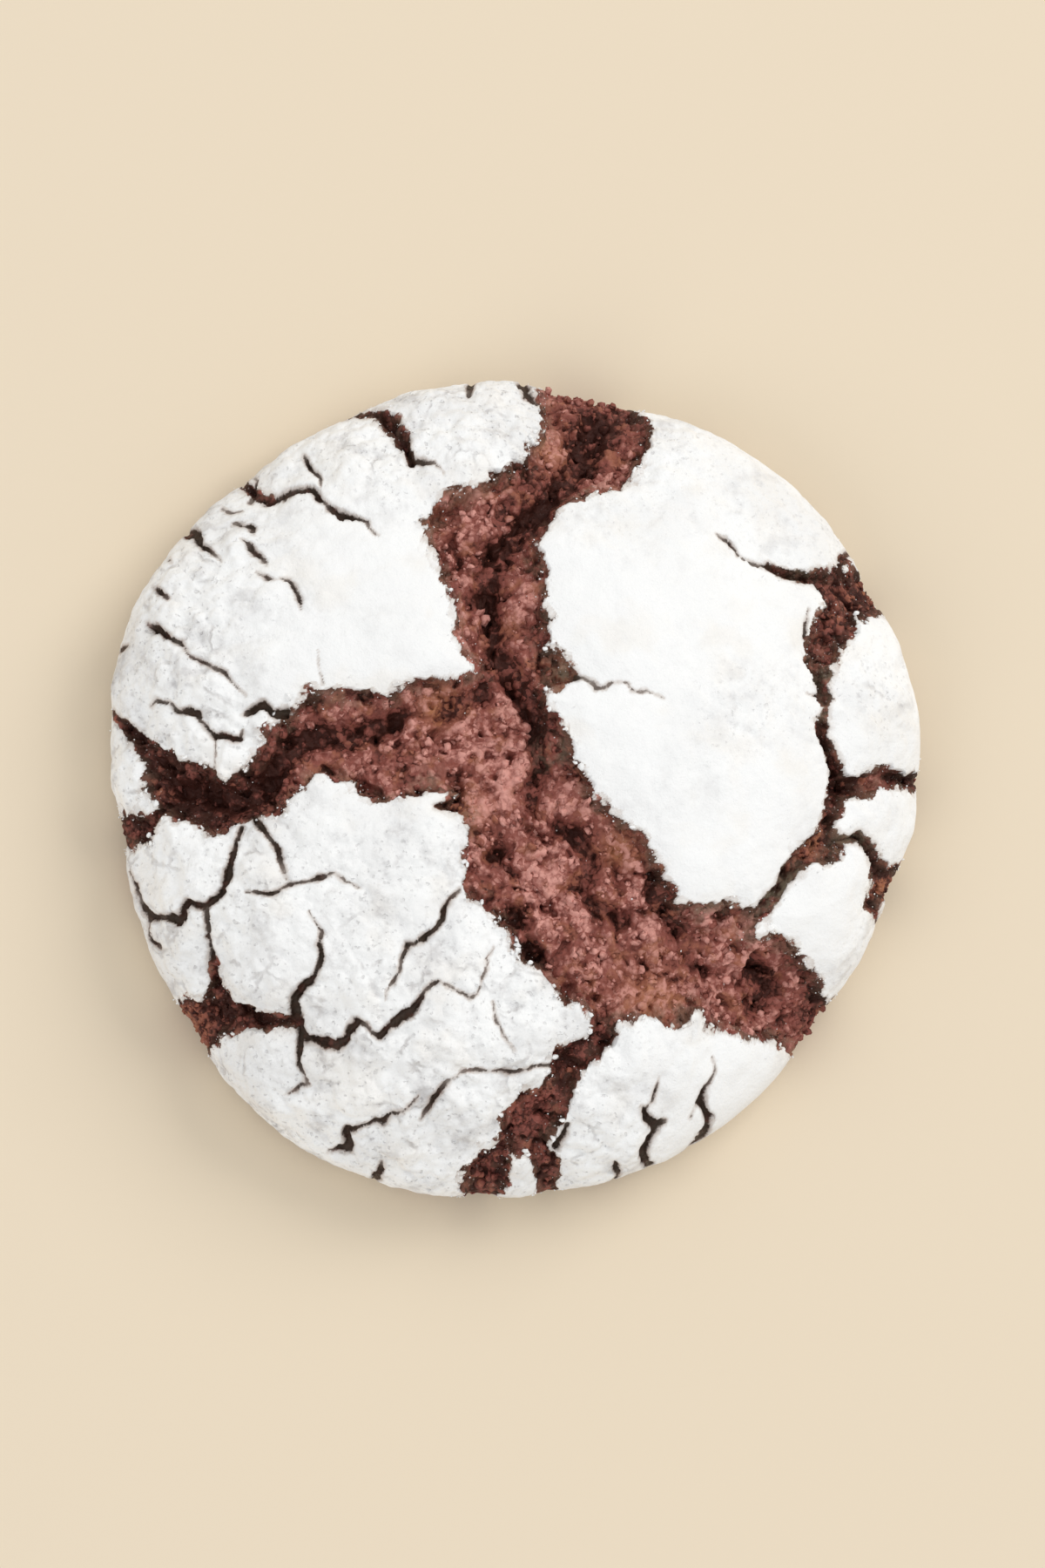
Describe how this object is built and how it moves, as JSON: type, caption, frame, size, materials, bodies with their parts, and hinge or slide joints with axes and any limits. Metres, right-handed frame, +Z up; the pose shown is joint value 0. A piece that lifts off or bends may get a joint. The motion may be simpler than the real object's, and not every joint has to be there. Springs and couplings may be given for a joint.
{
  "type": "chocolate crinkle cookie",
  "caption": "Round low-domed chocolate biscuit with a powdered sugar crust broken into plates by wide, crumbly dark cracks, on a flat base.",
  "frame": {"origin": "middle of the flat base, on the surface that the cookie lies on", "axes": "+Z up through the dome, +X and +Y towards the right and the top of the picture"},
  "size_m": [0.0653, 0.0656, 0.0149],
  "materials": {
    "cookie": "matte powdered sugar crust over dark chocolate crumb"
  },
  "bodies": {
    "root": {"cookie": "cookie"}
  },
  "joints": []
}
